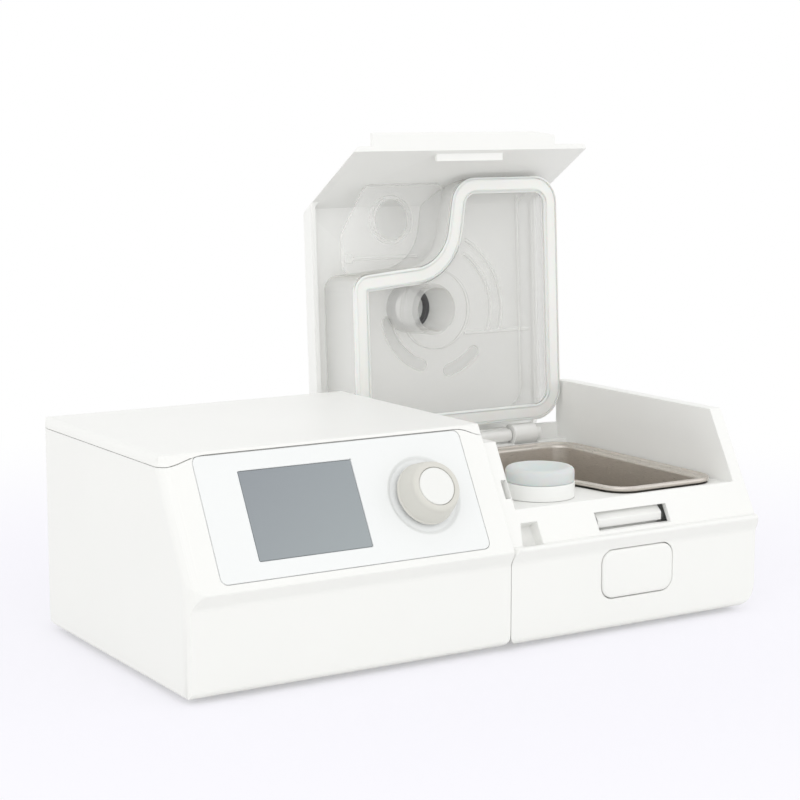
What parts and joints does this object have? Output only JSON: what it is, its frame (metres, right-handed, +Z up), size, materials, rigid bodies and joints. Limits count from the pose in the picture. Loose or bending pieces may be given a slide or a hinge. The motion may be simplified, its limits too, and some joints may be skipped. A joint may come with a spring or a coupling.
{
  "type": "positive airway pressure machine",
  "caption": "Bedside airway pressure machine with a sloping screen-and-knob face and a docked heated humidifier under a deep hinged lid.",
  "frame": {"origin": "middle of the footprint of the machine with its lid open, on the surface that the feet stand on", "axes": "+X to the right seen from the front, +Y to the back, +Z up"},
  "size_m": [0.29, 0.2054, 0.2188],
  "materials": {
    "body_white": "fine moulded texture, ivory white",
    "lid_white": "fine moulded texture, ivory white",
    "fascia": "smooth satin, cool white",
    "screen": "grey display behind a clear window",
    "dark_frame": "dark plastic",
    "circuit_board": "solder mask with parts",
    "machined_metal": "turned metal",
    "knob_plastic": "soft-touch grey ivory",
    "cap_plastic": "smooth, slightly domed",
    "duct_plastic": "moulded grey white",
    "soft_rubber": "dark elastomer",
    "foam": "open-cell foam",
    "filter_felt": "pleated felt",
    "jack_plastic": "black socket",
    "tank_steel": "polished drawn steel",
    "heater_aluminium": "plain plate",
    "spring_steel": "round spring wire",
    "port_white": "moulded white",
    "frosted_silicone": "frosted translucent silicone",
    "gasket_silicone": "milky silicone",
    "clear_duct": "clear, faintly yellow moulding",
    "outlet_plastic": "smooth taper"
  },
  "bodies": {
    "machine": {"main_housing": "body_white", "main_base": "body_white", "main_feet": "soft_rubber", "main_screws": "machined_metal", "top_cover": "body_white", "fascia_panel": "fascia", "display_window": "screen", "display_module": "dark_frame", "control_board": "circuit_board", "encoder_body": "machined_metal", "blower_housing": "duct_plastic", "blower_cover": "duct_plastic", "blower_mounts": "soft_rubber", "motor": "machined_metal", "outlet_duct": "duct_plastic", "silencer_foam": "foam", "filter_frame": "duct_plastic", "power_board": "circuit_board", "dc_jack": "jack_plastic", "humidifier_housing": "body_white", "humidifier_base": "body_white", "humidifier_feet": "soft_rubber", "humidifier_screws": "machined_metal", "docking_seal": "soft_rubber", "air_elbow": "duct_plastic", "port_ring": "port_white", "port_cap": "frosted_silicone", "heater_plate": "heater_aluminium", "heater_springs": "spring_steel", "heater_board": "circuit_board", "latch_springs": "spring_steel", "hinge_rod": "machined_metal"},
    "lid": {"lid_shell": "lid_white", "lid_duct": "clear_duct", "lid_gasket": "gasket_silicone", "outlet_tube": "outlet_plastic", "outlet_seal": "soft_rubber"},
    "tank": {"water_tank": "tank_steel"},
    "knob_carrier": {"encoder_plunger": "machined_metal"},
    "knob_head": {"knob_shaft": "machined_metal", "knob": "knob_plastic", "knob_cap": "cap_plastic"},
    "rotor": {"impeller": "duct_plastic", "motor_shaft": "machined_metal"},
    "release": {"release_button": "body_white", "latch_slider": "body_white"},
    "filter_door": {"filter_cap": "body_white", "air_filter": "filter_felt"}
  },
  "joints": [
    {"name": "lid_hinge", "type": "hinge", "parent": "machine", "child": "lid", "pos_m": [0, 0.04521, 0.065], "axis": [1, 0, 0], "range_deg": [0, 93]},
    {"name": "tank_lift", "type": "slide", "parent": "machine", "child": "tank", "axis": [0, 0, -1], "range_m": [-0.065, 0]},
    {"name": "knob_push", "type": "slide", "parent": "machine", "child": "knob_carrier", "axis": [0, 0.8746, -0.4848], "range_m": [0, 0.0008], "stiffness_N_per_m": 3000, "springref_m": -0.0005},
    {"name": "knob_turn", "type": "hinge", "parent": "knob_carrier", "child": "knob_head", "pos_m": [-0.0292, -0.08794, 0.07024], "axis": [0, -0.8746, 0.4848], "continuous": true},
    {"name": "impeller_spin", "type": "hinge", "parent": "machine", "child": "rotor", "pos_m": [-0.083, -0.03929, 0.0266], "axis": [0, 0, 1], "continuous": true},
    {"name": "button_press", "type": "slide", "parent": "machine", "child": "release", "axis": [0, 1, 0], "range_m": [0, 0.002], "stiffness_N_per_m": 900, "springref_m": -0.001, "deforming": ["latch_springs"]},
    {"name": "filter_door_pull", "type": "slide", "parent": "machine", "child": "filter_door", "axis": [0, 1, 0], "range_m": [0, 0.025]}
  ]
}
